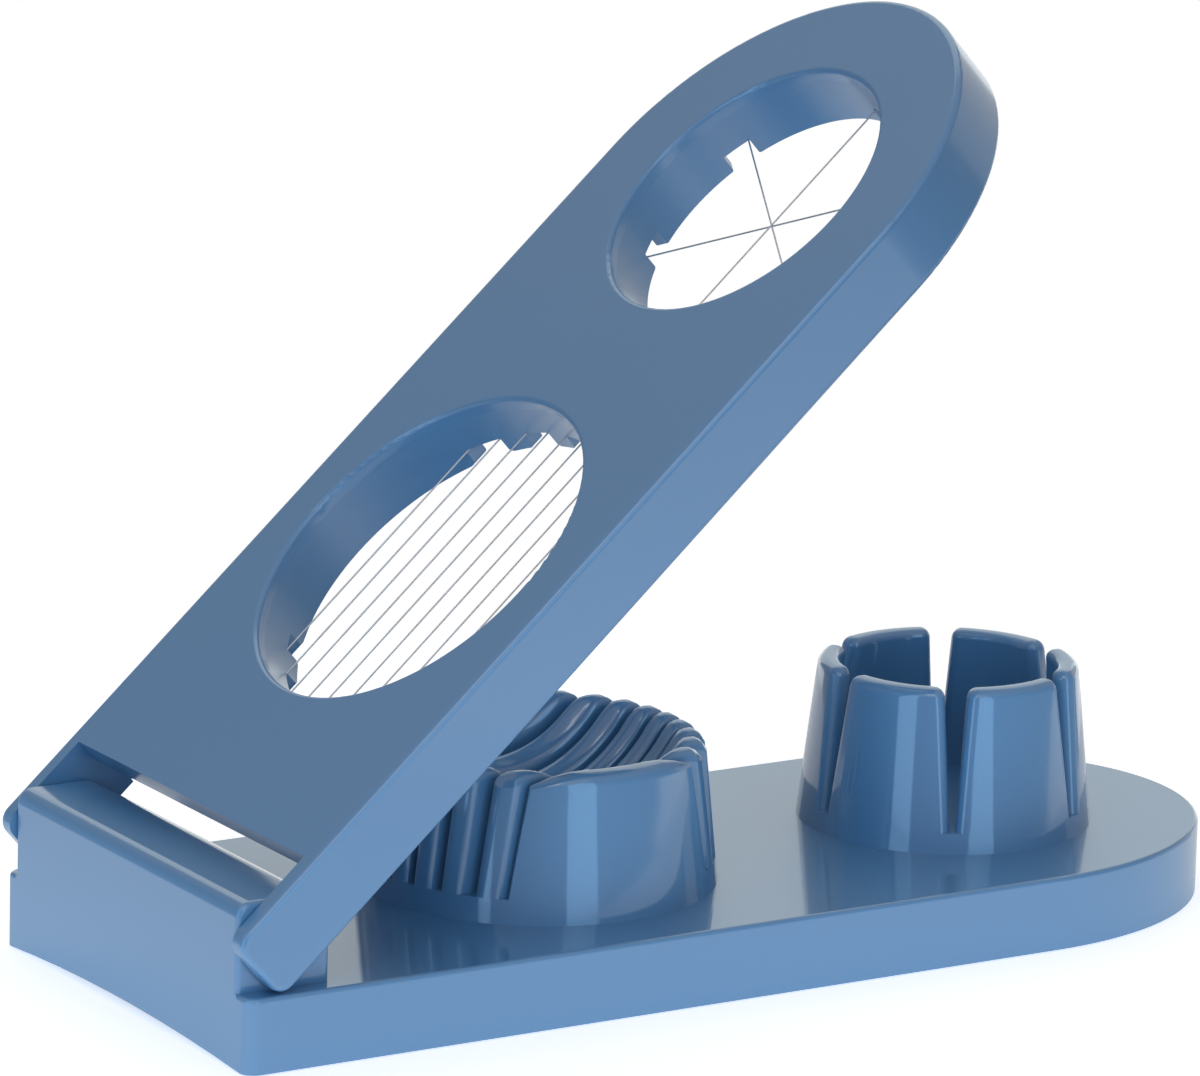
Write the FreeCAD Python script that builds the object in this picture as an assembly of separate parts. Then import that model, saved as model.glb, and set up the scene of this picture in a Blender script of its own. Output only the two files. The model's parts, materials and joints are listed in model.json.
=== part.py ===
import FreeCAD, Part

import math
import os

# Egg slicer and wedger: a base tray with a ribbed cradle and a slotted cup, under a wired lid on a hinge.
# Millimetres. X runs from the hinge end to the round end, Y across, Z up.
# The origin is the middle of the base's underside, and the lid rests half open.

# Base tray
base_height = 12.8
base_tip = 50.0
base_corner = 2.5
base_wall = 2.4
plate_thickness = 2.6
base_edge_round = 0.8
rear_arch_rise = 1.5

# Hinge block and pin
block_depth = 17.2
block_rise = 15.2
block_wall = 2.6
block_rear_round = 2.6
block_front_round = 5.0
block_end_round = 0.9
block_web = 2.4
block_web_spread = 26.0
block_inner_round = 1.0
pin_diameter = 3.0
pin_seat_clearance = 0.02
pin_running_clearance = 0.05
pin_end_clearance = 0.2

# Lid
lid_side_inset = 0.2
lid_rear_inset = 2.6
lid_front_inset = 2.5
lid_height = 13.2
lid_tip = 44.0
lid_wall = 2.4
lid_skin = 2.4
lid_edge_round = 1.1
lid_closed_gap = 0.5
lid_rest_angle = 41.75
cheek_length = 19.0
cheek_thickness = 3.4
cheek_low_round = 2.8
cheek_high_round = 3.0
cheek_play = 0.3
cheek_bore_depth = 2.0
pivot_inset = 3.6
pivot_rise = 4.5
lip_depth = 4.7
lip_thickness = 2.4

# Openings in the lid and the collars under them
slicing_clearance = 1.5
slicing_side_land = 9.3
slicing_rear_land = 24.7
wedging_clearance = 1.3
wedging_front_land = 16.8
opening_land = 23.6
rim_round = 0.8
collar_wall = 2.2
collar_lift = 1.2
slicing_tooth_round = 0.9
wedging_tooth_round = 0.4

# Wires
wire_diameter = 0.3
wire_pairs = 5
end_wire_inset = 1.05
slicing_lift = 4.45
end_notch_width = 2.6
wedge_spans = 3
wedging_lift = 4.0
wedge_notch_width = 5.4
wire_step = 0.35
wire_seat = 0.1
wire_bend = 0.6

# Screws that clamp the wire ends
screw_shank = 2.2
screw_head = 4.8
screw_head_height = 1.6
screw_head_round = 0.6
screw_depth = 3.0
screw_reach = 5.0
boss_diameter = 5.6
thread_clearance = 0.03

# Slicing cradle
cradle_rise = 25.2
cradle_flare = 2.7
cradle_rim_round = 2.2
cradle_plinth = 4.2
cradle_floor = 2.2
rib_round = 0.4
slot_foot_width = 1.2
slot_top_width = 1.6
seat_depth = 14.0
seat_half_width = 23.6
seat_stretch = 0.4
seat_side_land = 2.5
seat_mouth_round = 1.2

# Wedging cup
cup_rise = 28.2
cup_foot_radius = 25.6
cup_top_radius = 22.5
cup_wall = 2.8
cup_rim_round = 1.2
cup_plinth = 3.6
cup_floor_rise = 3.1
cup_floor = 2.2
cup_slot_foot_width = 0.9
cup_slot_top_width = 4.0
cup_slot_round = 0.5

# Places that follow from the sizes above
full_turn = 360.0
square_turn = 90.0
wedge_ends = 2 * wedge_spans
wedge_turn = full_turn / wedge_ends
seat_half_length = seat_half_width + seat_stretch
cradle_top_radius = seat_half_width + seat_side_land + cradle_rim_round
cradle_foot_radius = cradle_top_radius + cradle_flare
slicing_radius = cradle_foot_radius + slicing_clearance
wedging_radius = cup_foot_radius + wedging_clearance
slicing_reach = cheek_length + slicing_rear_land + slicing_radius
wedging_reach = slicing_reach + slicing_radius + opening_land + wedging_radius
lid_length = wedging_reach + wedging_radius + wedging_front_land
lid_width = 2 * (slicing_radius + slicing_side_land)
base_length = lid_length + lid_rear_inset + lid_front_inset
base_width = lid_width + 2 * lid_side_inset
rear_x = -base_length / 2
plate_z = base_height
lid_rear_x = rear_x + lid_rear_inset
cheek_front_x = lid_rear_x + cheek_length
lid_bottom_z = plate_z + lid_closed_gap
lid_top_z = lid_bottom_z + lid_height
skin_z = lid_top_z - lid_skin
collar_foot_z = lid_bottom_z + collar_lift
pivot = FreeCAD.Vector(lid_rear_x + pivot_inset, 0, lid_bottom_z + pivot_rise)
slicing_x = lid_rear_x + slicing_reach
wedging_x = lid_rear_x + wedging_reach
cheek_inner = lid_width / 2 - cheek_thickness
block_half = cheek_inner - cheek_play
wire_radius = wire_diameter / 2
wire_count = 2 * wire_pairs
wire_pitch = 2 * (seat_half_length - end_wire_inset) / (wire_count - 1)
wrap_radius = screw_shank / 2 + wire_radius + wire_seat
slicing_back = slicing_radius + collar_wall + wire_radius + 2 * wire_seat
wedging_back = wedging_radius + collar_wall + wire_radius + 2 * wire_seat
overcut = 5.0
touch = 0.01


def vec(x, y, z=0.0):
    return FreeCAD.Vector(x, y, z)


def spoke(angle):
    return vec(math.cos(math.radians(angle)), math.sin(math.radians(angle)))


def box(x0, x1, y0, y1, z0, z1):
    return Part.makeBox(x1 - x0, y1 - y0, z1 - z0, vec(x0, y0, z0))


def upright(radius, x, y, z0, z1):
    return Part.makeCylinder(radius, z1 - z0, vec(x, y, z0))


def crossbar(radius, half):
    return Part.makeCylinder(radius, 2 * half, vec(pivot.x, -half, pivot.z), vec(0, 1, 0))


def prism(edges, travel):
    return Part.Face(Part.Wire(edges)).extrude(travel)


def outline(points):
    return Part.makePolygon(points + points[:1]).Edges


def quarter(start, end, centre):
    """A quarter circle from start to end about a centre."""
    radius = (start - centre).Length
    middle = centre + (start + end - centre * 2).normalize() * radius
    return Part.Arc(start, middle, end).toShape()


def rounded(shape, radius, wanted):
    """Round the edges that the test picks."""
    return shape.makeFillet(radius, [edge for edge in shape.Edges if wanted(edge.BoundBox, edge)])


def half_oval(centre, along, aside):
    """Half an ellipse that starts at -aside, passes the end of along and ends at aside."""
    if along.Length >= aside.Length:
        oval = Part.Ellipse(centre + along, centre + aside, centre)
        return Part.ArcOfEllipse(oval, -math.pi / 2, math.pi / 2).toShape()
    oval = Part.Ellipse(centre - aside, centre + along, centre)
    return Part.ArcOfEllipse(oval, 0, math.pi).toShape()


def tongue(x0, x1, width, tip, z0, z1):
    """A slab that is square at x0 and ends in half an ellipse at x1."""
    half = width / 2
    nose = half_oval(vec(x1 - tip, 0, z0), vec(tip, 0), vec(0, half))
    sides = [
        Part.makeLine(vec(x1 - tip, half, z0), vec(x0, half, z0)),
        Part.makeLine(vec(x0, half, z0), vec(x0, -half, z0)),
        Part.makeLine(vec(x0, -half, z0), vec(x1 - tip, -half, z0)),
    ]
    return prism([nose] + sides, vec(0, 0, z1 - z0))


def spun(points, x):
    """A solid of revolution about the upright axis at x, from (radius, z) points."""
    face = Part.Face(Part.makePolygon([vec(x + radius, 0, z) for radius, z in points + points[:1]]))
    solid = face.revolve(vec(x, 0, 0), vec(0, 0, 1), full_turn)
    solid.rotate(vec(x, 0, 0), vec(0, 0, 1), square_turn)
    return solid


def vee_slot(reach, y, foot_z, foot_width, top_z, top_width):
    """A slot along X through the middle of a round piece, wider at the top."""
    section = outline([
        vec(-reach, y - foot_width / 2, foot_z),
        vec(-reach, y + foot_width / 2, foot_z),
        vec(-reach, y + top_width / 2, top_z),
        vec(-reach, y + top_width / 2, top_z + overcut),
        vec(-reach, y - top_width / 2, top_z + overcut),
        vec(-reach, y - top_width / 2, top_z),
    ])
    return prism(section, vec(2 * reach, 0, 0))


def opened(shape):
    """Turn a lid piece from closed to the half-open rest pose."""
    turned = shape.copy()
    turned.rotate(pivot, vec(0, -1, 0), lid_rest_angle)
    return turned


# Base

def base_tray():
    tray = tongue(rear_x, rear_x + base_length, base_width, base_tip, 0, plate_z)
    tray = rounded(tray, base_corner, lambda b, e: b.ZLength > touch and b.XMax < rear_x + touch)
    tray = rounded(tray, base_edge_round, lambda b, e: b.ZMin > plate_z - touch and b.XMax > rear_x + touch)
    hollow = tongue(
        rear_x + base_wall,
        rear_x + base_length - base_wall,
        base_width - 2 * base_wall,
        base_tip - base_wall,
        -overcut,
        plate_z - plate_thickness,
    )
    under_block = box(
        rear_x + block_wall,
        rear_x + block_depth - block_wall,
        block_wall - block_half,
        block_half - block_wall,
        0,
        plate_z + overcut,
    )
    under_cradle = upright(cradle_foot_radius - base_wall, slicing_x, 0, 0, plate_z + overcut)
    under_cup = upright(cup_foot_radius - base_wall, wedging_x, 0, 0, plate_z + overcut)
    block_foot = box(rear_x, rear_x + block_wall, -block_half, block_half, plate_z - plate_thickness, plate_z)
    tray = tray.fuse(block_foot).cut([hollow, under_block, under_cradle, under_cup, rear_arch()])
    return tray.removeSplitter()


def rear_arch():
    """The shallow arch under the rear wall."""
    foot = base_width / 2 - base_corner
    x = rear_x - overcut
    bow = Part.Arc(vec(x, -foot, 0), vec(x, 0, rear_arch_rise), vec(x, foot, 0)).toShape()
    return prism([bow, Part.makeLine(vec(x, foot, 0), vec(x, -foot, 0))], vec(base_wall + 2 * overcut, 0))


def block_slab(inset, foot_z):
    """The block's rounded side outline, drawn in by an inset on every side, as a solid."""
    x0 = rear_x + inset
    x1 = rear_x + block_depth - inset
    y = inset - block_half
    top = plate_z + block_rise - inset
    rear = max(block_rear_round - inset, block_inner_round)
    front = max(block_front_round - inset, block_inner_round)
    edges = [
        Part.makeLine(vec(x0, y, foot_z), vec(x0, y, top - rear)),
        quarter(vec(x0, y, top - rear), vec(x0 + rear, y, top), vec(x0 + rear, y, top - rear)),
        Part.makeLine(vec(x0 + rear, y, top), vec(x1 - front, y, top)),
        quarter(vec(x1 - front, y, top), vec(x1, y, top - front), vec(x1 - front, y, top - front)),
        Part.makeLine(vec(x1, y, top - front), vec(x1, y, foot_z)),
        Part.makeLine(vec(x1, y, foot_z), vec(x0, y, foot_z)),
    ]
    return prism(edges, vec(0, -2 * y, 0))


def hinge_block():
    block = block_slab(0, plate_z)
    block = rounded(block, block_end_round, lambda b, e: b.YLength < touch and b.ZMax > plate_z + touch)
    hollow = block_slab(block_wall, plate_z - overcut)
    for middle in (-block_web_spread / 2, block_web_spread / 2):
        low = middle - block_web / 2
        high = middle + block_web / 2
        hollow = hollow.cut(box(rear_x, rear_x + block_depth, low, high, plate_z, plate_z + block_rise))
    return block.cut([hollow, crossbar(pin_diameter / 2 + pin_seat_clearance, base_width)])


def hinge_pin():
    return crossbar(pin_diameter / 2, cheek_inner + cheek_bore_depth - pin_end_clearance)


def egg_seat(top):
    """The hollow for a lying egg: a spheroid whose long axis runs across the cradle."""
    girth = (seat_half_width ** 2 + seat_depth ** 2) / (2 * seat_depth)
    above = girth - seat_depth
    reach = seat_half_length / math.sqrt(1 - (above / girth) ** 2)
    centre = vec(slicing_x, 0, top + above)
    bow = half_oval(centre, vec(0, 0, girth), vec(0, reach, 0))
    face = Part.Face(Part.Wire([bow, Part.makeLine(centre + vec(0, reach), centre - vec(0, reach))]))
    return face.revolve(centre, vec(0, 1, 0), full_turn)


def slicing_cradle():
    top = plate_z + cradle_rise
    foot_z = plate_z + cradle_plinth
    drum = spun([(0, plate_z), (cradle_foot_radius, plate_z), (cradle_top_radius, top), (0, top)], slicing_x)
    drum = rounded(drum, cradle_rim_round, lambda b, e: e.Closed and b.ZMin > top - touch)
    drum = drum.cut(egg_seat(top))
    mouth = 2 * max(seat_half_width, seat_half_length) + touch

    def seat_mouth(b, e):
        return e.Closed and b.ZMin > top - touch and b.XLength < mouth

    drum = rounded(drum, seat_mouth_round, seat_mouth)
    slots = []
    for number in range(wire_count):
        slot = vee_slot(
            cradle_foot_radius + overcut,
            wire_line(number),
            foot_z,
            slot_foot_width,
            top,
            slot_top_width,
        )
        slot.translate(vec(slicing_x, 0))
        slots.append(slot)
    drum = rounded(drum.cut(slots), rib_round, lambda b, e: b.ZMax > foot_z + touch and beside_slot(b))
    return drum.cut(upright(cradle_foot_radius - base_wall, slicing_x, 0, 0, foot_z - cradle_floor))


def beside_slot(bounds):
    """Whether an edge runs along a slot, on a rib that lies between two slots."""
    lean = (slot_top_width - slot_foot_width) / 2
    middle = (slot_top_width + slot_foot_width) / 4
    y = bounds.Center.y
    near = min(abs(abs(y - wire_line(number)) - middle) for number in range(wire_count))
    return bounds.YLength < lean + touch and near < lean and abs(y) < wire_line(0)


def wedging_cup():
    top = plate_z + cup_rise
    floor_z = plate_z + cup_floor_rise
    slot_z = plate_z + cup_plinth
    lean = (cup_foot_radius - cup_top_radius) / cup_rise
    cup = spun([
        (0, plate_z),
        (cup_foot_radius, plate_z),
        (cup_top_radius, top),
        (cup_top_radius - cup_wall, top),
        (cup_foot_radius - lean * cup_floor_rise - cup_wall, floor_z),
        (0, floor_z),
    ], wedging_x)
    cup = rounded(cup, cup_rim_round, lambda b, e: e.Closed and b.ZMin > top - touch)
    slots = []
    for number in range(wedge_spans):
        slot = vee_slot(cup_foot_radius + overcut, 0, slot_z, cup_slot_foot_width, top, cup_slot_top_width)
        slot.rotate(vec(0, 0, 0), vec(0, 0, 1), number * wedge_turn)
        slot.translate(vec(wedging_x, 0))
        slots.append(slot)

    def slot_edge(b, e):
        return b.ZMin > slot_z - touch and b.ZMax > slot_z + touch and not on_round(e)

    cup = rounded(cup.cut(slots), cup_slot_round, slot_edge)
    return cup.cut(upright(cup_foot_radius - base_wall, wedging_x, 0, 0, floor_z - cup_floor))


def on_round(edge):
    """Whether an edge keeps its distance from the cup's upright axis, as the rim's own edges do."""
    ends = [vertex.Point - vec(wedging_x, 0, vertex.Point.z) for vertex in edge.Vertexes]
    return abs(ends[0].Length - ends[-1].Length) < touch and edge.BoundBox.ZLength < touch


# Lid, drawn closed

def lid_moulding():
    """Skin, skirt, lip and hinge cheeks in one, before the openings are cut."""
    lid = tongue(lid_rear_x, lid_rear_x + lid_length, lid_width, lid_tip, lid_bottom_z, lid_top_z)
    at_rear = lid_rear_x + touch
    lid = rounded(lid, cheek_low_round, lambda b, e: b.XMax < at_rear and b.ZMax < lid_bottom_z + touch)
    lid = rounded(lid, cheek_high_round, lambda b, e: b.XMax < at_rear and b.ZMin > lid_top_z - touch)

    def outer(b, e):
        on_side = b.YLength < touch and abs(b.YMin) > lid_width / 2 - touch
        on_nose = b.XMax > lid_rear_x + lid_length - touch and b.ZMin > lid_top_z - touch
        return on_nose or (on_side and b.ZMax > lid_bottom_z + touch and b.XMin < cheek_front_x)

    lid = rounded(lid, lid_edge_round, outer)
    hollow_x = cheek_front_x + lip_thickness
    hinge_gap = box(
        lid_rear_x - overcut,
        cheek_front_x,
        -cheek_inner,
        cheek_inner,
        lid_bottom_z - overcut,
        lid_top_z + overcut,
    )
    hollow = tongue(
        hollow_x,
        lid_rear_x + lid_length - lid_wall,
        lid_width - 2 * lid_wall,
        lid_tip - lid_wall,
        lid_bottom_z - overcut,
        skin_z,
    )
    under_lip = box(
        cheek_front_x - overcut,
        hollow_x + overcut,
        -cheek_inner,
        cheek_inner,
        lid_bottom_z - overcut,
        lid_top_z - lip_depth,
    )
    bore = crossbar(pin_diameter / 2 + pin_running_clearance, cheek_inner + cheek_bore_depth)
    return lid.cut([hinge_gap, hollow, under_lip, bore])


def behind_lip(y0, y1):
    return box(lid_rear_x - overcut, cheek_front_x, y0, y1, lid_bottom_z - overcut, lid_top_z + overcut)


def lid_shell(lid):
    shell = lid.cut(behind_lip(-base_width, base_width))
    for x, radius in ((slicing_x, slicing_radius), (wedging_x, wedging_radius)):
        shell = shell.cut(upright(radius, x, 0, lid_bottom_z - overcut, lid_top_z + overcut))
    shell = rounded(shell, rim_round, lambda b, e: e.Closed and b.ZMin > lid_top_z - touch)
    for middle in screw_places():
        boss_foot = middle.z + wire_radius
        boss = upright(boss_diameter / 2, middle.x, middle.y, boss_foot, skin_z)
        hole_radius = screw_shank / 2 + thread_clearance
        hole = upright(hole_radius, middle.x, middle.y, boss_foot, boss_foot + screw_depth)
        shell = shell.fuse(boss).cut(hole)
    return shell


def hinge_cheek(lid, side):
    return lid.common(behind_lip(min(0, side * base_width), max(0, side * base_width)))


def collar(x, radius):
    outer = upright(radius + collar_wall, x, 0, collar_foot_z, skin_z)
    return outer.cut(upright(radius, x, 0, collar_foot_z, skin_z))


def notch(x0, x1, y0, y1, root_z, tooth_round):
    """A gap in a collar's lower edge that leaves rounded teeth beside it."""
    low = collar_foot_z - overcut
    shoulder = collar_foot_z + tooth_round
    y2 = y0 - tooth_round
    y3 = y1 + tooth_round
    edges = [
        Part.makeLine(vec(x0, y0, root_z), vec(x0, y1, root_z)),
        Part.makeLine(vec(x0, y1, root_z), vec(x0, y1, shoulder)),
        quarter(vec(x0, y1, shoulder), vec(x0, y3, collar_foot_z), vec(x0, y3, shoulder)),
        Part.makeLine(vec(x0, y3, collar_foot_z), vec(x0, y3, low)),
        Part.makeLine(vec(x0, y3, low), vec(x0, y2, low)),
        Part.makeLine(vec(x0, y2, low), vec(x0, y2, collar_foot_z)),
        quarter(vec(x0, y2, collar_foot_z), vec(x0, y0, shoulder), vec(x0, y2, shoulder)),
        Part.makeLine(vec(x0, y0, shoulder), vec(x0, y0, root_z)),
    ]
    return prism(edges, vec(x1 - x0, 0, 0))


def slicing_collar():
    """A ring with crenellated front and rear edges; the wire goes round each tooth between two notches."""
    room = wire_radius + wire_seat
    root_z = lid_bottom_z + slicing_lift + wire_radius
    reach = slicing_radius + collar_wall + overcut
    first_y = wire_line(0)
    spans = []
    for number in range(wire_count - 1):
        side = -1 if number % 2 else 1
        spans.append((side, wire_line(number + 1) - room, wire_line(number) + room))
    spans.append((-1, first_y - room, first_y - room + end_notch_width))
    spans.append((-1, room - first_y - end_notch_width, room - first_y))
    notches = []
    for side, low, high in spans:
        tool = notch(min(0, side * reach), max(0, side * reach), low, high, root_z, slicing_tooth_round)
        tool.translate(vec(slicing_x, 0))
        notches.append(tool)
    return collar(slicing_x, slicing_radius).cut(notches)


def wedging_collar():
    """A ring with a notch per wire end; the wire lies in its corner, against the tooth it goes round."""
    room = wire_radius + wire_seat
    root_z = lid_bottom_z + wedging_lift + wire_step + wire_radius
    reach = wedging_radius + collar_wall + overcut
    notches = []
    for number in range(wedge_ends):
        low = -room if number % 2 else room - wedge_notch_width
        tool = notch(0, reach, low, low + wedge_notch_width, root_z, wedging_tooth_round)
        tool.rotate(vec(0, 0, 0), vec(0, 0, 1), number * wedge_turn)
        tool.translate(vec(wedging_x, 0))
        notches.append(tool)
    return collar(wedging_x, wedging_radius).cut(notches)


# Wires and their screws, drawn closed

def wire_line(number):
    """The side offset of one slicing wire, counted from the far side."""
    return ((wire_count - 1) / 2 - number) * wire_pitch


def slicing_end(number, side):
    """Where a slicing wire leaves the collar, in front (1) or at the rear (-1)."""
    y = wire_line(number)
    return vec(slicing_x + side * math.sqrt(slicing_back ** 2 - y ** 2), y, lid_bottom_z + slicing_lift)


def wedging_end(number, lift):
    """Where a wedging wire leaves the collar, counted in sixths of a turn."""
    return vec(wedging_x, 0, lid_bottom_z + lift) + spoke(number * wedge_turn) * wedging_back


def wire_ends():
    """The four clamped ends: where the wire leaves the collar, its way on, and the side its screw is on."""
    first_turn = wedge_spans * wedge_turn
    last_turn = first_turn + wedge_turn
    return [
        (slicing_end(0, 1), vec(1, 0), vec(0, 1)),
        (slicing_end(wire_count - 1, 1), vec(1, 0), vec(0, -1)),
        (wedging_end(wedge_spans, wedging_lift), spoke(first_turn), spoke(first_turn - square_turn)),
        (
            wedging_end(wedge_spans + 1, wedging_lift + wire_step),
            spoke(last_turn),
            spoke(last_turn + square_turn),
        ),
    ]


def screw_places():
    return [entry + way * screw_reach + aside * wrap_radius for entry, way, aside in wire_ends()]


def clamp_turn(entry, way, aside):
    """The wire's last turn round its screw, as corners about the shank."""
    middle = entry + way * screw_reach + aside * wrap_radius
    bend = wrap_radius - wire_seat
    ahead = way * wrap_radius
    across = aside * wrap_radius
    return [
        (middle + ahead - across, bend),
        (middle + ahead + across, bend),
        (middle - ahead + across, bend),
        (middle - ahead, bend),
    ]


def wire_along(stops):
    """A round wire through (point, bend radius) stops: straight runs joined by tangent arcs."""
    points = [point for point, bend in stops]
    edges = []
    start = points[0]
    for before, (corner, bend), after in zip(points, stops[1:], points[2:]):
        inward = (corner - before).normalize()
        outward = (after - corner).normalize()
        turn = inward.getAngle(outward)
        tangent = bend * math.tan(turn / 2)
        middle = corner + (outward - inward).normalize() * (bend / math.cos(turn / 2) - bend)
        edges.append(Part.makeLine(start, corner - inward * tangent))
        edges.append(Part.Arc(corner - inward * tangent, middle, corner + outward * tangent).toShape())
        start = corner + outward * tangent
    edges.append(Part.makeLine(start, points[-1]))
    path = Part.Wire(edges)
    ring = Part.Wire([Part.makeCircle(wire_radius, points[0], points[1] - points[0])])
    return path.makePipeShell([ring], True, False)


def slicing_wire():
    """One wire wound to and fro, round each tooth of the collar."""
    ends = wire_ends()
    stops = clamp_turn(*ends[0])[::-1]
    for number in range(wire_count):
        side = 1 if number % 2 else -1
        if number > 0:
            stops.append((slicing_end(number, -side), wire_bend))
        if number < wire_count - 1:
            stops.append((slicing_end(number, side), wire_bend))
    return wire_along(stops + clamp_turn(*ends[1]))


def wedging_wire():
    """One wire across the middle three times, each span clear above the next."""
    ends = wire_ends()
    low = wedging_lift - wire_step
    high = wedging_lift + wire_step
    stops = clamp_turn(*ends[2])[::-1]
    stops.append((wedging_end(0, wedging_lift), wire_bend))
    stops += round_tooth(0, wedging_lift, -1, low)
    stops.append((wedging_end(-1, low), wire_bend))
    stops.append((wedging_end(2, low), wire_bend))
    stops += round_tooth(2, low, 1, high)
    stops.append((wedging_end(1, high), wire_bend))
    return wire_along(stops + clamp_turn(*ends[3]))


def round_tooth(start, start_lift, end, end_lift):
    """The slow curve behind a tooth of the wedging collar, in thirds."""
    stops = []
    for share in (1 / 3, 2 / 3):
        number = start + (end - start) * share
        stops.append((wedging_end(number, start_lift + (end_lift - start_lift) * share), wedging_back))
    return stops


def wire_screws():
    screws = []
    for middle in screw_places():
        seat_z = middle.z - wire_radius
        head = upright(screw_head / 2, middle.x, middle.y, seat_z - screw_head_height, seat_z)
        head = rounded(head, screw_head_round, lambda b, e: e.Closed and b.ZMax < seat_z - touch)
        shank = upright(screw_shank / 2, middle.x, middle.y, seat_z, middle.z + wire_radius + screw_depth)
        screws.append(head.fuse(shank))
    return Part.makeCompound(screws)


lid = lid_moulding()
nodes = {
    "base_tray": base_tray(),
    "hinge_block": hinge_block(),
    "hinge_pin": hinge_pin(),
    "slicing_cradle": slicing_cradle(),
    "wedging_cup": wedging_cup(),
    "lid_shell": opened(lid_shell(lid)),
    "hinge_cheek_left": opened(hinge_cheek(lid, 1)),
    "hinge_cheek_right": opened(hinge_cheek(lid, -1)),
    "slicing_collar": opened(slicing_collar()),
    "wedging_collar": opened(wedging_collar()),
    "slicing_wire": opened(slicing_wire()),
    "wedging_wire": opened(wedging_wire()),
    "wire_screws": opened(wire_screws()),
}
os.makedirs("parts", exist_ok=True)
for name, shape in nodes.items():
    shape.exportStep(f"parts/{name}.step")
    print(name, "solids", len(shape.Solids), "valid", shape.isValid(), "volume", round(shape.Volume, 1))
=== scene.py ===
"""Egg slicer and wedger: the looks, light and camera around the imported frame."""

import json
import logging
import math
from collections.abc import Sequence
from dataclasses import dataclass
from enum import Enum

import bpy
import numpy as np
from mathutils import Matrix

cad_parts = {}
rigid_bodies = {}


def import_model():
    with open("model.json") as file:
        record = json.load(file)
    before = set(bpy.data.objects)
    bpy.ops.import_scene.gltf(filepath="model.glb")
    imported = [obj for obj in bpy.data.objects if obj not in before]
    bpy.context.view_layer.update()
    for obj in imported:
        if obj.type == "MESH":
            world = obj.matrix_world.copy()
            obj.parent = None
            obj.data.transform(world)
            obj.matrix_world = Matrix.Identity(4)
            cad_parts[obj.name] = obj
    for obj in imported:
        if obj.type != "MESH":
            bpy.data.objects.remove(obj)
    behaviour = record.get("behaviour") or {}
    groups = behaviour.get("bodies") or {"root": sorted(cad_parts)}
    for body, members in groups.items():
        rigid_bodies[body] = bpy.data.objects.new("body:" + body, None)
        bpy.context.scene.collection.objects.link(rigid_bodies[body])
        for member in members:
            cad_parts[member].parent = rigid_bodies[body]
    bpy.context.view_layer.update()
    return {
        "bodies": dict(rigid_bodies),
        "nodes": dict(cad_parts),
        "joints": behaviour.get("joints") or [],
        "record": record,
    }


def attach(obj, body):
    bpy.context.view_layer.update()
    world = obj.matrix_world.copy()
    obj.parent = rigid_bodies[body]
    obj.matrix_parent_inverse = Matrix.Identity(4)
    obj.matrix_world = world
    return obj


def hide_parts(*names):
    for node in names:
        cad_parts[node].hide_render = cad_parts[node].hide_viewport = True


LOG = logging.getLogger("egg_slicer")
MM = 0.001
WELDS_PER_METRE = 2e6
TINY = 1e-15
TINY_SQUARE = 1e-12
WHITE = (1.0, 1.0, 1.0, 1.0)
WINDOW_LIGHT = (0.36, 0.66, 1.0)
COOL_CARD = (0.9, 1.0, 1.0)
BLUE = (78, 128, 172)
BLUE_SHADE = (76, 126, 169)
WIRE_GREY = (0.8, 0.8, 0.81, 1.0)
PLATED_GREY = (0.7, 0.7, 0.71, 1.0)


class Body(Enum):
    """The rigid bodies that pieces ride on."""

    BASE = "base"
    LID = "lid"


class Slot(Enum):
    """The record's material slots."""

    PLASTIC = "blue_plastic"
    WIRE = "steel_wire"
    PLATED = "plated_steel"


def linear(red: int, green: int, blue: int) -> tuple[float, float, float, float]:
    """Turn a colour as seen on a screen into the shader's linear colour.

    Args:
        red: Red from 0 to 255.
        green: Green from 0 to 255.
        blue: Blue from 0 to 255.

    Returns:
        Linear red, green, blue and an alpha of one.
    """
    channels = [c / 255 for c in (red, green, blue)]
    lin = [c / 12.92 if c <= 0.04045 else ((c + 0.055) / 1.055) ** 2.4 for c in channels]
    return (lin[0], lin[1], lin[2], 1.0)


class NodeTree:
    """The shader nodes of a material or a world, added and linked by short calls."""

    def __init__(self, owner: bpy.types.Material | bpy.types.World) -> None:
        """Start with no nodes.

        Args:
            owner: The material or the world that the nodes belong to.
        """
        owner.use_nodes = True
        self.tree = owner.node_tree
        self.tree.nodes.clear()

    def add(self, kind: str, **values: object) -> bpy.types.Node:
        """Add a node and set its input sockets.

        Args:
            kind: The node's type name.
            **values: Socket values, with underscores for spaces in socket names.

        Returns:
            The new node.
        """
        node = self.tree.nodes.new(kind)
        for key, value in values.items():
            node.inputs[key.replace("_", " ")].default_value = value
        return node

    def link(
        self, source: bpy.types.Node, output: str, target: bpy.types.Node, socket: str | int
    ) -> None:
        """Join two nodes.

        Args:
            source: Node that gives the value.
            output: Its output socket's name.
            target: Node that takes the value.
            socket: Its input socket's name, or its number where names repeat.
        """
        self.tree.links.new(source.outputs[output], target.inputs[socket])


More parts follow.
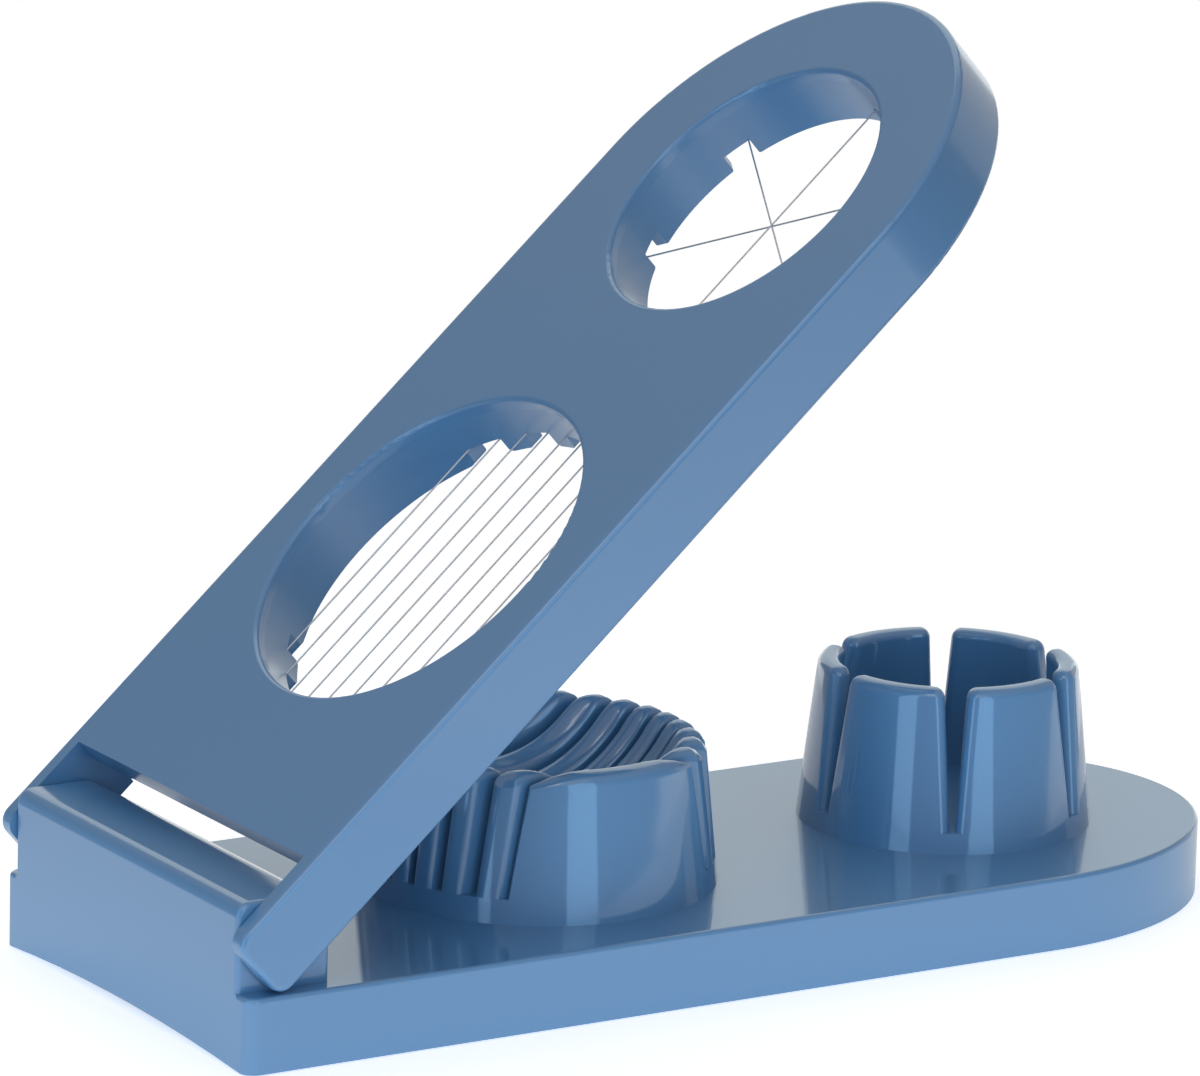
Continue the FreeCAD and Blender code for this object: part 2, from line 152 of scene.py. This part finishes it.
@dataclass(frozen=True)
class MouldedPlastic:
    """Coloured plastic: a polished skin over a faintly hazy body, uneven as moulded faces are."""

    name: str
    colour: tuple[float, float, float, float]
    shade: tuple[float, float, float, float]
    haze: float = 0.45
    polish: float = 0.07
    polish_spread: float = 0.02
    body_index: float = 1.5
    skin_index: float = 1.75
    cloud_scale: float = 18.0
    grain_scale: float = 900.0
    ripple_scale: float = 55.0
    ripple_height: float = 0.00005

    def material(self) -> bpy.types.Material:
        """Build the shader.

        Returns:
            The material.
        """
        material = bpy.data.materials.new(self.name)
        nodes = NodeTree(material)
        place = nodes.add("ShaderNodeTexCoord")
        cloud = nodes.add("ShaderNodeTexNoise", Scale=self.cloud_scale, Detail=3.0, Roughness=0.5)
        grain = nodes.add("ShaderNodeTexNoise", Scale=self.grain_scale, Detail=2.0, Roughness=0.6)
        ripple = nodes.add("ShaderNodeTexNoise", Scale=self.ripple_scale, Detail=1.0, Roughness=0.4)
        tint = nodes.tree.nodes.new("ShaderNodeMix")
        tint.data_type = "RGBA"
        tint.inputs["A"].default_value = self.shade
        tint.inputs["B"].default_value = self.colour
        low, high = self.polish - self.polish_spread, self.polish + self.polish_spread
        gloss = nodes.add("ShaderNodeMapRange", To_Min=low, To_Max=high)
        bump = nodes.add("ShaderNodeBump", Strength=1.0, Distance=self.ripple_height)
        shader = nodes.add(
            "ShaderNodeBsdfPrincipled",
            IOR=self.body_index,
            Roughness=self.haze,
            Coat_Weight=1.0,
            Coat_IOR=self.skin_index,
        )
        output = nodes.add("ShaderNodeOutputMaterial")
        for texture in (cloud, grain, ripple):
            nodes.link(place, "Object", texture, "Vector")
        nodes.link(cloud, "Fac", tint, "Factor")
        nodes.link(tint, "Result", shader, "Base Color")
        nodes.link(grain, "Fac", gloss, "Value")
        nodes.link(gloss, "Result", shader, "Coat Roughness")
        nodes.link(ripple, "Fac", bump, "Height")
        nodes.link(bump, "Normal", shader, "Normal")
        nodes.link(bump, "Normal", shader, "Coat Normal")
        nodes.link(shader, "BSDF", output, "Surface")
        return material


@dataclass(frozen=True)
class DrawnSteel:
    """Bright steel with a fine drawn grain."""

    name: str
    colour: tuple[float, float, float, float]
    roughness: float = 0.3
    roughness_spread: float = 0.3
    dark_grain: float = 0.8
    grain_scale: float = 700.0

    def material(self) -> bpy.types.Material:
        """Build the shader.

        Returns:
            The material.
        """
        material = bpy.data.materials.new(self.name)
        nodes = NodeTree(material)
        place = nodes.add("ShaderNodeTexCoord")
        grain = nodes.add("ShaderNodeTexNoise", Scale=self.grain_scale, Detail=3.0, Roughness=0.6)
        spread = self.roughness * self.roughness_spread
        low, high = self.roughness - spread, self.roughness + spread
        gloss = nodes.add("ShaderNodeMapRange", To_Min=low, To_Max=high)
        tint = nodes.tree.nodes.new("ShaderNodeMix")
        tint.data_type = "RGBA"
        dark = [self.dark_grain * c for c in self.colour[:3]]
        tint.inputs["A"].default_value = (*dark, 1.0)
        tint.inputs["B"].default_value = self.colour
        shader = nodes.add("ShaderNodeBsdfPrincipled", Metallic=1.0)
        output = nodes.add("ShaderNodeOutputMaterial")
        nodes.link(place, "Object", grain, "Vector")
        nodes.link(grain, "Fac", gloss, "Value")
        nodes.link(grain, "Fac", tint, "Factor")
        nodes.link(gloss, "Result", shader, "Roughness")
        nodes.link(tint, "Result", shader, "Base Color")
        nodes.link(shader, "BSDF", output, "Surface")
        return material


def soften(mesh: bpy.types.Mesh, crease: float) -> None:
    """Shade a mesh smoothly across gentle bends, with wide faces leading.

    Corners at the same place count as one, so faces that were split apart still meet smoothly.

    Args:
        mesh: The mesh to shade.
        crease: Bends sharper than this many degrees stay sharp.
    """
    count = len(mesh.vertices)
    coords = np.empty(count * 3)
    mesh.vertices.foreach_get("co", coords)
    keys = np.round(coords.reshape(-1, 3) * WELDS_PER_METRE).astype(np.int64)
    welded = np.unique(keys, axis=0, return_inverse=True)[1].ravel()
    loops = np.empty(len(mesh.loops), int)
    mesh.loops.foreach_get("vertex_index", loops)
    corner = welded[loops]
    normals = np.empty(len(mesh.polygons) * 3)
    mesh.polygons.foreach_get("normal", normals)
    normals = normals.reshape(-1, 3)
    areas = np.empty(len(mesh.polygons))
    mesh.polygons.foreach_get("area", areas)
    totals = np.empty(len(mesh.polygons), int)
    mesh.polygons.foreach_get("loop_total", totals)
    face = np.repeat(np.arange(len(totals)), totals)
    order = np.argsort(corner, kind="stable")
    starts = np.searchsorted(corner[order], np.arange(corner.max() + 2))
    sizes = np.diff(starts)[corner]
    mine = np.repeat(np.arange(len(corner)), sizes)
    step = np.arange(len(mine)) - np.repeat(np.cumsum(sizes) - sizes, sizes)
    other = face[order[starts[corner[mine]] + step]]
    bend = np.einsum("ij,ij->i", normals[face[mine]], normals[other])
    near = bend > math.cos(math.radians(crease))
    pull = normals[other] * (areas[other] * near)[:, None]
    summed = np.zeros((len(corner), 3))
    np.add.at(summed, mine, pull)
    length = np.linalg.norm(summed, axis=1, keepdims=True)
    summed = np.where(length > TINY, summed / np.maximum(length, TINY), normals[face])
    mesh.polygons.foreach_set("use_smooth", np.ones(len(totals), bool))
    mesh.normals_split_custom_set(summed.tolist())


class Surface:
    """Points and faces of one piece, in millimetres, gathered loop by loop."""

    def __init__(self) -> None:
        """Start with nothing."""
        self.points: list[tuple[float, float, float]] = []
        self.faces: list[list[int]] = []

    def loop(self, points: Sequence[Sequence[float]]) -> list[int]:
        """Add a row of points.

        Args:
            points: The points in order.

        Returns:
            Their numbers.
        """
        first = len(self.points)
        self.points.extend((float(p[0]), float(p[1]), float(p[2])) for p in points)
        return list(range(first, len(self.points)))

    def bridge(self, low: list[int], high: list[int], closed: bool = True) -> None:
        """Join two rows of the same length by quads.

        Args:
            low: The first row.
            high: The row beside it.
            closed: Whether the rows close on themselves.
        """
        last = len(low) if closed else len(low) - 1
        for i in range(last):
            j = (i + 1) % len(low)
            self.faces.append([low[i], low[j], high[j], high[i]])

    def stack(self, loops: list[list[int]], closed: bool = True) -> None:
        """Join each row to the next.

        Args:
            loops: The rows from first to last.
            closed: Whether each row closes on itself.
        """
        for low, high in zip(loops, loops[1:]):
            self.bridge(low, high, closed)

    def cap(self, loop: list[int]) -> None:
        """Close a loop by one flat face.

        Args:
            loop: The loop, counter-clockwise seen from outside.
        """
        self.faces.append(list(loop))

    def build(self, name: str, crease: float = 40.0) -> bpy.types.Object:
        """Make the object.

        Args:
            name: The object's name.
            crease: Bends sharper than this many degrees stay sharp.

        Returns:
            The object, linked to the scene.
        """
        mesh = bpy.data.meshes.new(name)
        mesh.from_pydata([tuple(c * MM for c in p) for p in self.points], [], self.faces)
        mesh.validate()
        mesh.update()
        soften(mesh, crease)
        piece = bpy.data.objects.new(name, mesh)
        bpy.context.scene.collection.objects.link(piece)
        return piece


def paint(piece: bpy.types.Object, material: bpy.types.Material) -> None:
    """Give a piece its one finish.

    Args:
        piece: The object.
        material: Its material.
    """
    piece.data.materials.clear()
    piece.data.materials.append(material)


def arc(centre: complex, radius: float, start: float, end: float, points: int) -> list[complex]:
    """Points along a part of a circle.

    Args:
        centre: The circle's middle, as complex x + iy.
        radius: The circle's radius.
        start: Direction of the first point in radians.
        end: Direction of the last point in radians.
        points: How many points to give.

    Returns:
        The points, as complex x + iy.
    """
    return [centre + radius * np.exp(1j * a) for a in np.linspace(start, end, points)]


def circle(centre: complex, radius: float, steps: int) -> list[complex]:
    """Points round a full circle.

    Args:
        centre: The circle's middle, as complex x + iy.
        radius: The circle's radius.
        steps: How many points to give.

    Returns:
        The points, as complex x + iy, the first one not repeated.
    """
    return arc(centre, radius, 0, 2 * math.pi, steps + 1)[:-1]


@dataclass
class CadGroup:
    """Solids that are shown as they are, shaded smoothly and painted."""

    nodes: tuple[str, ...]
    slot: Slot
    crease: float = 38.0

    def dress(self, frame: dict, material: bpy.types.Material) -> None:
        """Shade and paint each solid.

        Args:
            material: The material for the group.
        """
        for name in self.nodes:
            node = frame["nodes"][name]
            soften(node.data, self.crease)
            paint(node, material)
            LOG.info("dressed %s", name)


@dataclass
class SlottedDrum:
    """A tapering drum on the tray, slotted from its top; sizes are in millimetres."""

    centre_x: float
    slot_z: float
    top_z: float
    foot_radius: float
    top_radius: float
    slot_foot: float
    slot_top: float
    roof_z: float
    turn_steps: int
    foot_z: float = 12.8
    skirt: float = 2.4
    arc_points: int = 6

    def radius(self, z: float) -> float:
        """Outer radius at a height.

        Args:
            z: Height in millimetres.

        Returns:
            The radius in millimetres.
        """
        share = (z - self.foot_z) / (self.top_z - self.foot_z)
        return self.foot_radius + (self.top_radius - self.foot_radius) * share

    def slot_half(self, z: float) -> float:
        """Half a slot's width at a height.

        Args:
            z: Height in millimetres.

        Returns:
            The half width in millimetres.
        """
        share = (z - self.slot_z) / (self.top_z - self.slot_z)
        return self.slot_foot + (self.slot_top - self.slot_foot) * share

    def add_foot(self, skin: Surface, inside: Sequence[tuple[float, float]] = ()) -> None:
        """Add the closed ring below the slots, from its underside round the outside.

        Args:
            skin: The surface to add to.
            inside: Radius and height pairs that go on inwards from the slots' floor.
        """
        profile = [
            (self.foot_radius - self.skirt, self.roof_z),
            (self.foot_radius - self.skirt, self.foot_z),
            (self.foot_radius, self.foot_z),
            (self.radius(self.slot_z), self.slot_z),
            *inside,
        ]
        loops = []
        for radius, z in profile:
            ring = circle(self.centre_x, radius, self.turn_steps)
            loops.append(skin.loop([(p.real, p.imag, z) for p in ring]))
        skin.stack(loops)
        skin.cap(loops[0][::-1])
        skin.cap(loops[-1])


@dataclass
class WedgingCup(SlottedDrum):
    """The slotted cup: six standing walls with rounded rims on a low ring."""

    centre_x: float = 57.8
    slot_z: float = 16.4
    top_z: float = 41.0
    foot_radius: float = 25.6
    top_radius: float = 22.5
    slot_foot: float = 0.45
    slot_top: float = 2.0
    roof_z: float = 14.0
    turn_steps: int = 144
    walls: int = 6
    wall: float = 4.0
    floor_z: float = 15.9
    corner: float = 1.8
    sharp_corner: float = 0.04
    rim_round: float = 1.7
    rows: int = 8
    round_steps: int = 7
    way_points: int = 14

    def wall_loop(self, turn: float, z: float, inset: float) -> list[tuple[float, float, float]]:
        """The outline of one standing wall at a height.

        Args:
            turn: Direction of the wall's middle in radians.
            z: Height in millimetres.
            inset: How far the outline is drawn in.

        Returns:
            Points of the outline.
        """
        outer = self.radius(z) - inset
        inner = self.radius(z) - self.wall + inset
        half = self.slot_half(z) + inset
        bend = max(self.corner - inset, self.sharp_corner)
        edge = math.pi / self.walls
        outer_lead = edge - math.asin((half + bend) / (outer - bend))
        inner_lead = edge - math.asin((half + bend) / (inner + bend))
        ends = []
        for side in (-1, 1):
            flank = side * (edge + math.pi / 2)
            centre = (outer - bend) * np.exp(1j * side * outer_lead)
            end = arc(centre, bend, side * outer_lead, flank, self.arc_points)
            centre = (inner + bend) * np.exp(1j * side * inner_lead)
            end += arc(centre, bend, flank, side * (inner_lead + math.pi), self.arc_points)
            ends.append(end)
        first = ends[0][::-1]
        ring = first[self.arc_points :]
        ring += arc(0, outer, -outer_lead, outer_lead, self.way_points)[1:-1]
        ring += ends[1]
        ring += arc(0, inner, inner_lead, -inner_lead, self.way_points)[1:-1]
        ring += first[: self.arc_points]
        spots = [p * np.exp(1j * turn) for p in ring]
        return [(self.centre_x + p.real, p.imag, z) for p in spots]

    def build(self, material: bpy.types.Material) -> bpy.types.Object:
        """Make the cup.

        Args:
            material: Its material.

        Returns:
            The piece.
        """
        skin = Surface()
        shoulder = self.top_z - self.rim_round
        for number in range(self.walls):
            turn = math.radians(360 / self.walls * (number + 0.5))
            heights = np.linspace(self.slot_z, shoulder, self.rows)
            loops = [skin.loop(self.wall_loop(turn, z, 0)) for z in heights]
            for angle in np.linspace(0, math.pi / 2, self.round_steps + 1)[1:]:
                inset = self.rim_round * (1 - math.cos(angle))
                z = shoulder + self.rim_round * math.sin(angle)
                loops.append(skin.loop(self.wall_loop(turn, z, inset)))
            skin.stack(loops)
            skin.cap(loops[-1])
        inside = self.radius(self.slot_z) - self.wall
        self.add_foot(skin, [(inside, self.slot_z), (inside, self.floor_z)])
        piece = skin.build("wedging_cup_skin")
        paint(piece, material)
        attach(piece, Body.BASE.value)
        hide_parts("wedging_cup")
        LOG.info("built %s", piece.name)
        return piece


def edge_distance(spots: np.ndarray, outline: np.ndarray) -> np.ndarray:
    """How far points lie from a closed outline.

    Args:
        spots: The points, as complex x + iy.
        outline: The outline's corners in order, as complex x + iy.

    Returns:
        The distance of each point.
    """
    way = np.roll(outline, -1) - outline
    length = np.maximum(np.abs(way) ** 2, TINY_SQUARE)
    lead = spots[:, None] - outline[None, :]
    along = np.clip((lead * np.conj(way)).real / length, 0.0, 1.0)
    return np.abs(lead - along * way).min(axis=1)


@dataclass
class SlicingCradle(SlottedDrum):
    """The ribbed cradle: a round drum cut into ribs, hollowed for a lying egg."""

    centre_x: float = -25.2
    slot_z: float = 17.0
    top_z: float = 38.0
    foot_radius: float = 31.0
    top_radius: float = 28.3
    slot_foot: float = 0.55
    slot_top: float = 0.65
    roof_z: float = 14.8
    turn_steps: int = 160
    wires: int = 10
    pitch: float = 5.1
    seat_depth: float = 14.0
    seat_half_width: float = 23.6
    seat_half_length: float = 24.6
    seat_blend: float = 2.0
    nose_round: float = 1.25
    tip_round: float = 0.35
    tip_reach: float = 0.3
    edge_round: float = 1.8
    rim_drop: float = 0.5
    rim_reach: float = 3.0
    rows: int = 6
    top_steps: int = 18
    run_points: int = 46
    nose_points: int = 3

    def crest(self, x: float, y: float) -> float:
        """Height of the ribs' tops over a point, before their edges are rounded.

        Args:
            x: Distance from the middle along the length.
            y: Distance from the middle across.

        Returns:
            The height in millimetres.
        """
        girth = (self.seat_half_width**2 + self.seat_depth**2) / (2 * self.seat_depth)
        above = girth - self.seat_depth
        reach = self.seat_half_length / math.sqrt(1 - (above / girth) ** 2)
        square = girth**2 * (1 - (y / reach) ** 2) - x**2
        hollow = self.top_z + above - math.sqrt(max(square, 0.0))
        blend = self.seat_blend
        mix = max(blend - abs(hollow - self.top_z), 0.0) / blend
        low = min(hollow, self.top_z) - mix * mix * blend / 4
        rim_start = self.radius(self.top_z) - self.rim_reach
        out = max(math.hypot(x, y) - rim_start, 0.0) / self.rim_reach
        return low - self.rim_drop * out * out

    def rib_sides(self, number: int, z: float) -> tuple[list[complex], list[complex]]:
        """Both sides of a rib's plan at a height, from one end to the other.

        Args:
            number: The rib, counted from the near side.
            z: Height in millimetres.

        Returns:
            The points of the far side and of the near side, as complex x + iy.
        """
        first = -(self.wires - 1) / 2 * self.pitch
        radius = self.radius(z)
        inner = 0 < number < self.wires
        half = self.slot_half(z) - (0.0 if inner else self.tip_reach)
        corner = self.nose_round if inner else self.tip_round
        low = first + (number - 1) * self.pitch + half if number > 0 else None
        high = first + number * self.pitch - half if number < self.wires else None
        far = self.flank(high, 1, radius, corner) if high is not None else None
        near = self.flank(low, -1, radius, corner) if low is not None else None
        if far is None:
            far = self.round_side(near, radius, 1)
        elif near is None:
            near = self.round_side(far, radius, -1)
        else:
            far, near = self.noses(far, near, radius)
        return far, near

    def flank(self, y: float, side: int, radius: float, corner: float) -> list[complex]:
        """A flank at y with its two filleted ends on the drum.

        Args:
            y: Where the flank lies.
            side: 1 if the rib lies below y, -1 if above.
            radius: The drum's radius here.
            corner: The fillets' radius.

        Returns:
            Points from the +x end to the -x end.
        """
        level = y - side * corner
        middle = complex(math.sqrt((radius - corner) ** 2 - level**2), level)
        start = math.atan2(middle.imag, middle.real)
        fillet = arc(middle, corner, start, side * math.pi / 2, self.arc_points)
        way = np.linspace(fillet[-1].real, -fillet[-1].real, self.run_points)[1:-1]
        run = [complex(x, y) for x in way]
        return fillet + run + [complex(-p.real, p.imag) for p in fillet[::-1]]

    def round_side(self, flank: list[complex], radius: float, side: int) -> list[complex]:
        """The drum's own side of an end rib, with as many points as its flank.

        Args:
            flank: The rib's one flank.
            radius: The drum's radius here.
            side: 1 for the far end rib, -1 for the near one.

        Returns:
            Points from the +x end to the -x end.
        """
        start = math.atan2(flank[0].imag, flank[0].real)
        return arc(0, radius, start, side * math.pi - start, len(flank))

    def noses(
        self, far: list[complex], near: list[complex], radius: float
    ) -> tuple[list[complex], list[complex]]:
        """Lengthen both flanks of a middle rib round its ends to where they meet.

        Args:
            far: The far flank.
            near: The near flank.
            radius: The drum's radius here.

        Returns:
            The two lengthened sides.
        """
        top = math.atan2(far[0].imag, far[0].real)
        bottom = math.atan2(near[0].imag, near[0].real)
        middle = (top + bottom) / 2
        sides = []
        for flank, edge in ((far, top), (near, bottom)):
            lead = arc(0, radius, middle, edge, self.nose_points)[:-1]
            sides.append(lead + flank + [complex(-p.real, p.imag) for p in lead[::-1]])
        return sides[0], sides[1]

    def rib(self, skin: Surface, number: int) -> None:
        """Add one rib.

        Args:
            skin: The surface to add to.
            number: The rib, counted from the near side.
        """
        far, near = self.rib_sides(number, self.top_z - self.edge_round)
        rims = [self.crest(p.real, p.imag) - self.edge_round for p in far + near[::-1]]
        loops = []
        for share in np.linspace(0, 1, self.rows):
            points = []
            for i, rim in enumerate(rims):
                level = self.slot_z + (rim - self.slot_z) * share
                side_far, side_near = self.rib_sides(number, level)
                spot = (side_far + side_near[::-1])[i]
                points.append((self.centre_x + spot.real, spot.imag, level))
            loops.append(skin.loop(points))
        skin.stack(loops)
        self.rib_top(skin, loops[-1])

    def rib_top(self, skin: Surface, rim: list[int]) -> None:
        """Close a rib by a rounded top that springs upright from its rim.

        Args:
            skin: The surface to add to.
            rim: The top loop of the rib's flanks.
        """
        half = len(rim) // 2
        corners = [skin.points[i] for i in rim]
        outline = np.array([complex(x - self.centre_x, y) for x, y, _ in corners])
        far, near = outline[:half], outline[half:][::-1]
        shares = (1 - np.cos(np.linspace(0, math.pi, self.top_steps + 1)[1:-1])) / 2
        spots = far[None, :] + (near - far)[None, :] * shares[:, None]
        depth = edge_distance(spots.ravel(), outline).reshape(spots.shape)
        bend = np.minimum(depth.max(axis=0), self.edge_round)[None, :]
        rise = np.sqrt(np.maximum(bend**2 - (bend - np.minimum(depth, bend)) ** 2, 0.0))
        rows = [rim[:half]]
        for way, lift in zip(spots, rise):
            row = []
            for spot, up in zip(way, lift):
                z = self.crest(spot.real, spot.imag) - self.edge_round + up
                row.append((self.centre_x + spot.real, spot.imag, z))
            rows.append(skin.loop(row))
        rows.append(rim[half:][::-1])
        skin.stack(rows, closed=False)

    def build(self, material: bpy.types.Material) -> bpy.types.Object:
        """Make the cradle.

        Args:
            material: Its material.

        Returns:
            The piece.
        """
        skin = Surface()
        for number in range(self.wires + 1):
            self.rib(skin, number)
        self.add_foot(skin)
        piece = skin.build("slicing_cradle_skin")
        paint(piece, material)
        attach(piece, Body.BASE.value)
        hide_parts("slicing_cradle")
        LOG.info("built %s", piece.name)
        return piece


@dataclass(frozen=True)
class Panel:
    """A flat lamp that faces the object, in metres; at a radiance of 1 it mirrors as white card."""

    name: str
    bearing: float
    elevation: float
    distance: float
    width: float
    height: float
    radiance: float
    mirrored: bool = True
    tint: tuple[float, float, float] = (1.0, 1.0, 1.0)

    def hang(self) -> None:
        """Hang the lamp; its bearing counts from the near side towards the round end."""
        data = bpy.data.lights.new(self.name, "AREA")
        data.shape = "RECTANGLE"
        data.size = self.width
        data.size_y = self.height
        data.energy = math.pi * self.width * self.height * self.radiance
        data.color = self.tint
        lamp = bpy.data.objects.new(self.name, data)
        bpy.context.scene.collection.objects.link(lamp)
        turn = math.radians(self.bearing)
        climb = math.radians(self.elevation)
        level = self.distance * math.cos(climb)
        height = self.distance * math.sin(climb)
        lamp.location = (level * math.sin(turn), -level * math.cos(turn), height)
        lamp.rotation_euler = (math.pi / 2 - climb, 0, turn)
        lamp.visible_camera = False
        lamp.visible_glossy = self.mirrored
        LOG.info("hung %s", self.name)


@dataclass
class Studio:
    """A white table that throws light up, under a pale sky, with soft lamps round it, in metres."""

    floor_radius: float = 0.2
    floor_height: float = -0.0003
    floor_steps: int = 96
    floor_colour: tuple[float, float, float, float] = (0.9, 0.9, 0.9, 1.0)
    camera_lift: float = 0.55
    mirror_lift: float = 0.15
    glow_radius: float = 0.2
    glow_height: float = -0.0001
    glow: float = 1.2
    dusk_z: float = 0.35
    noon_z: float = 0.7
    horizon: float = 0.2
    zenith: float = 0.48
    panels: tuple[Panel, ...] = (
        Panel("left_box", -68.0, 7.1, 1.6, 0.56, 1.4, 2.0, tint=WINDOW_LIGHT),
        Panel("right_box", -2.0, 7.1, 1.6, 0.56, 1.4, 2.0, tint=WINDOW_LIGHT),
        Panel("key", -40.0, 13.0, 2.5, 2.0, 1.2, 0.8, False),
        Panel("side", -90.0, 12.0, 2.5, 2.3, 1.1, 0.62, False),
        Panel("high", -30.0, 46.0, 2.5, 2.66, 1.43, 0.36),
        Panel("strip", -38.0, 50.0, 2.5, 1.0, 0.35, 1.8),
        Panel("low_card", 48.0, -11.9, 1.8, 3.0, 0.36, 0.8),
        Panel("backdrop", 148.0, -8.0, 1.5, 2.4, 0.6, 0.9),
        Panel("tip_card", 105.0, 10.0, 1.6, 1.6, 0.6, 0.4),
        Panel("back", 150.0, 31.0, 2.5, 2.2, 3.0, 0.68, tint=COOL_CARD),
    )

    def build(self) -> None:
        """Lay the floor, light the sky and hang the lamps."""
        self.lay_floor()
        self.light_table()
        self.light_sky()
        for panel in self.panels:
            panel.hang()

    def lay_floor(self) -> None:
        """Lay the round white table: white and shaded from above, clear from below."""
        mesh = bpy.data.meshes.new("floor")
        rim = circle(0, self.floor_radius, self.floor_steps)
        ring = [(p.real, p.imag, self.floor_height) for p in rim]
        mesh.from_pydata(ring, [], [list(range(len(ring)))])
        floor = bpy.data.objects.new("floor", mesh)
        bpy.context.scene.collection.objects.link(floor)
        material = bpy.data.materials.new("floor_white")
        nodes = NodeTree(material)
        path = nodes.add("ShaderNodeLightPath")
        seen = nodes.add("ShaderNodeMapRange", To_Max=self.camera_lift)
        mirrored = nodes.add("ShaderNodeMapRange", To_Max=self.mirror_lift)
        strength = nodes.add("ShaderNodeMath")
        strength.operation = "ADD"
        lift = nodes.add("ShaderNodeEmission")
        shader = nodes.add("ShaderNodeBsdfDiffuse", Color=self.floor_colour)
        both = nodes.add("ShaderNodeAddShader")
        face = nodes.add("ShaderNodeNewGeometry")
        clear = nodes.add("ShaderNodeBsdfTransparent")
        sided = nodes.add("ShaderNodeMixShader")
        output = nodes.add("ShaderNodeOutputMaterial")
        nodes.link(path, "Is Camera Ray", seen, "Value")
        nodes.link(path, "Is Glossy Ray", mirrored, "Value")
        nodes.link(seen, "Result", strength, 0)
        nodes.link(mirrored, "Result", strength, 1)
        nodes.link(strength, "Value", lift, "Strength")
        nodes.link(shader, "BSDF", both, 0)
        nodes.link(lift, "Emission", both, 1)
        nodes.link(face, "Backfacing", sided, "Fac")
        nodes.link(both, "Shader", sided, 1)
        nodes.link(clear, "BSDF", sided, 2)
        nodes.link(sided, "Shader", output, "Surface")
        mesh.materials.append(material)

    def light_table(self) -> None:
        """Throw light up from just over the table; neither camera nor mirrors see this lamp."""
        data = bpy.data.lights.new("table_glow", "AREA")
        data.shape = "DISK"
        data.size = 2 * self.glow_radius
        data.energy = (math.pi * self.glow_radius) ** 2 * self.glow
        lamp = bpy.data.objects.new("table_glow", data)
        bpy.context.scene.collection.objects.link(lamp)
        lamp.location = (0, 0, self.glow_height)
        lamp.rotation_euler = (math.pi, 0, 0)
        lamp.visible_camera = False
        lamp.visible_glossy = False
        LOG.info("hung %s", lamp.name)

    def light_sky(self) -> None:
        """Light the surroundings, brightest overhead, and show them white to the camera."""
        world = bpy.data.worlds.new("sky")
        bpy.context.scene.world = world
        nodes = NodeTree(world)
        path = nodes.add("ShaderNodeLightPath")
        place = nodes.add("ShaderNodeTexCoord")
        split = nodes.add("ShaderNodeSeparateXYZ")
        climb = nodes.add(
            "ShaderNodeMapRange",
            From_Min=self.dusk_z,
            From_Max=self.noon_z,
            To_Min=self.horizon,
            To_Max=self.zenith,
        )
        soft = nodes.add("ShaderNodeBackground", Color=WHITE)
        seen = nodes.add("ShaderNodeBackground", Color=WHITE, Strength=1.0)
        mix = nodes.add("ShaderNodeMixShader")
        output = nodes.add("ShaderNodeOutputWorld")
        nodes.link(place, "Generated", split, "Vector")
        nodes.link(split, "Z", climb, "Value")
        nodes.link(climb, "Result", soft, "Strength")
        nodes.link(path, "Is Camera Ray", mix, "Fac")
        nodes.link(soft, "Background", mix, 1)
        nodes.link(seen, "Background", mix, 2)
        nodes.link(mix, "Shader", output, "Surface")


@dataclass
class PhotoCamera:
    """The camera solved on the photograph's edges, in metres; lens and sensor in millimetres."""

    place: tuple[float, float, float] = (-0.74981, -1.18613, 0.41952)
    right: tuple[float, float, float] = (0.852844, -0.521524, 0.025875)
    down: tuple[float, float, float] = (-0.105316, -0.220336, -0.969722)
    ahead: tuple[float, float, float] = (0.511434, 0.824297, -0.242837)
    lens: float = 256.75
    sensor: float = 36.0
    nearest: float = 0.05
    farthest: float = 50.0

    def build(self) -> None:
        """Place the camera."""
        data = bpy.data.cameras.new("photo_camera")
        data.sensor_fit = "HORIZONTAL"
        data.sensor_width = self.sensor
        data.lens = self.lens
        data.clip_start = self.nearest
        data.clip_end = self.farthest
        camera = bpy.data.objects.new("photo_camera", data)
        bpy.context.scene.collection.objects.link(camera)
        columns = [self.right, [-c for c in self.down], [-c for c in self.ahead]]
        turn = Matrix([[column[row] for column in columns] for row in range(3)]).to_4x4()
        camera.matrix_world = Matrix.Translation(self.place) @ turn
        bpy.context.scene.camera = camera
        bpy.context.scene.view_settings.view_transform = "Standard"
        LOG.info("camera at %s", self.place)


def main() -> None:
    """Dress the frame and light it."""
    logging.basicConfig(level=logging.INFO, format="%(name)s: %(message)s")
    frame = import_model()
    colour, shade = linear(*BLUE), linear(*BLUE_SHADE)
    blue = MouldedPlastic("blue_plastic", colour, shade).material()
    sheen = MouldedPlastic("lid_plastic", colour, shade, polish=0.17).material()
    satin = MouldedPlastic("collar_plastic", colour, shade, polish=0.3).material()
    wire = DrawnSteel("steel_wire", WIRE_GREY, roughness=0.45).material()
    plated = DrawnSteel("plated_steel", PLATED_GREY, roughness=0.18).material()
    CadGroup(("base_tray", "hinge_block"), Slot.PLASTIC).dress(frame, blue)
    lid = ("lid_shell", "hinge_cheek_left", "hinge_cheek_right")
    CadGroup(lid, Slot.PLASTIC).dress(frame, sheen)
    CadGroup(("slicing_collar", "wedging_collar"), Slot.PLASTIC).dress(frame, satin)
    CadGroup(("slicing_wire", "wedging_wire"), Slot.WIRE, crease=60.0).dress(frame, wire)
    CadGroup(("hinge_pin", "wire_screws"), Slot.PLATED).dress(frame, plated)
    SlicingCradle().build(blue)
    WedgingCup().build(blue)
    Studio().build()
    PhotoCamera().build()


if __name__ == "__main__":
    main()
